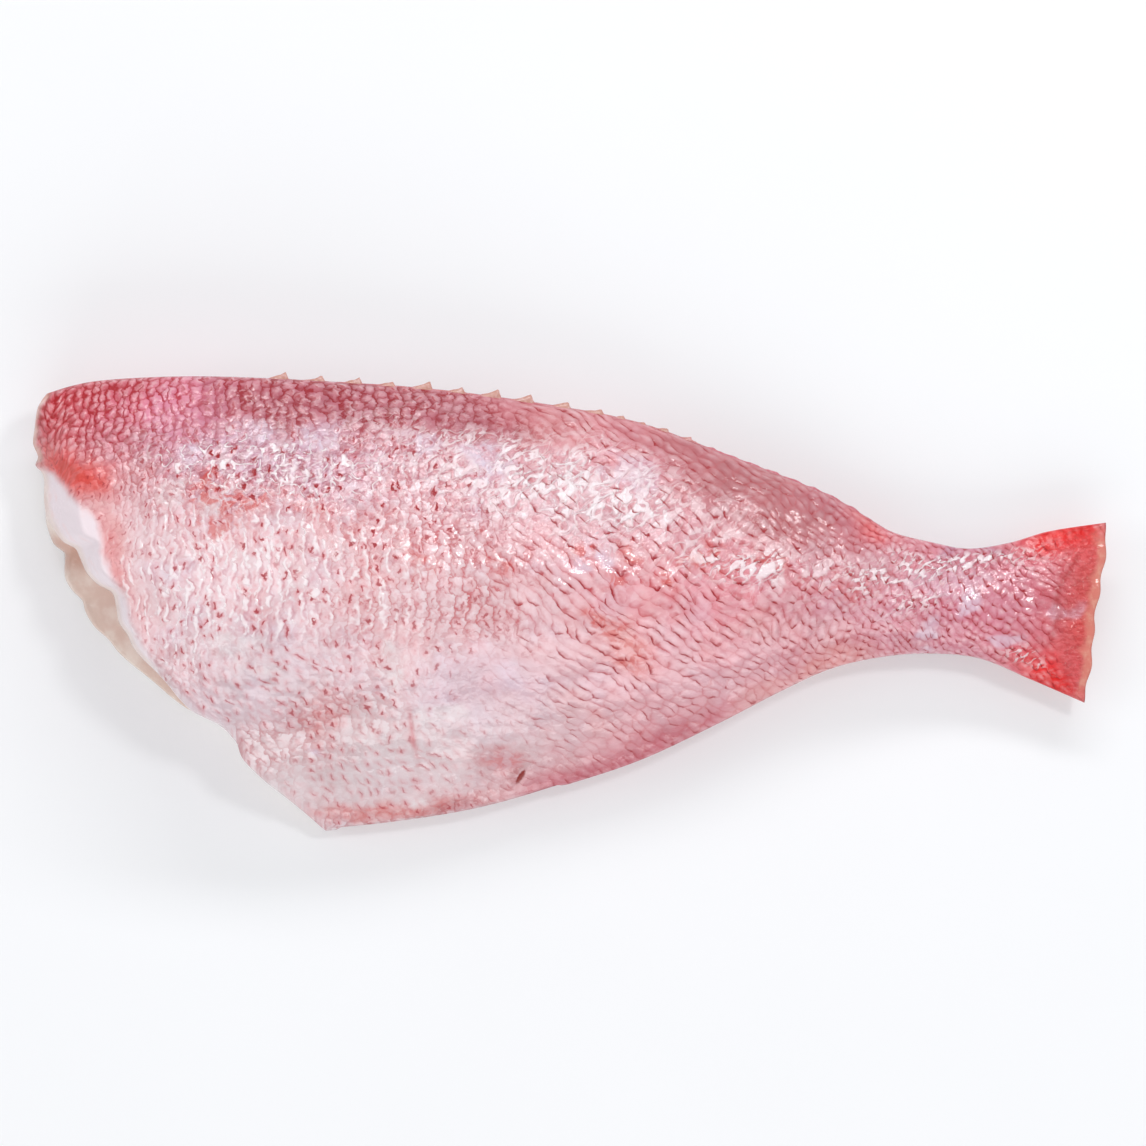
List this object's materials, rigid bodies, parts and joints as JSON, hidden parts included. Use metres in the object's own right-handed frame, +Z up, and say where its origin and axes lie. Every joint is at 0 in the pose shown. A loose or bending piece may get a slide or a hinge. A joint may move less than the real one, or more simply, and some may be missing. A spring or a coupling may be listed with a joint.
{
  "type": "dressed rockfish",
  "caption": "Raw rockfish trunk lying on one flank: headed, gutted, scaled and fin-trimmed, with a bevelled head cut, belly flaps, a vent and a tail stump, ready to cook.",
  "frame": {"origin": "on the resting plane, under the middle of the footprint", "axes": "+X from the head cut towards the tail, +Y from the belly towards the back, +Z up from the resting flank"},
  "size_m": [0.2398, 0.1028, 0.0413],
  "materials": {
    "fish_skin": "wet raw skin, rose and pale pink with scale pockets, white flesh at the cut"
  },
  "bodies": {
    "root": {"dressed_fish": "fish_skin"}
  },
  "joints": []
}
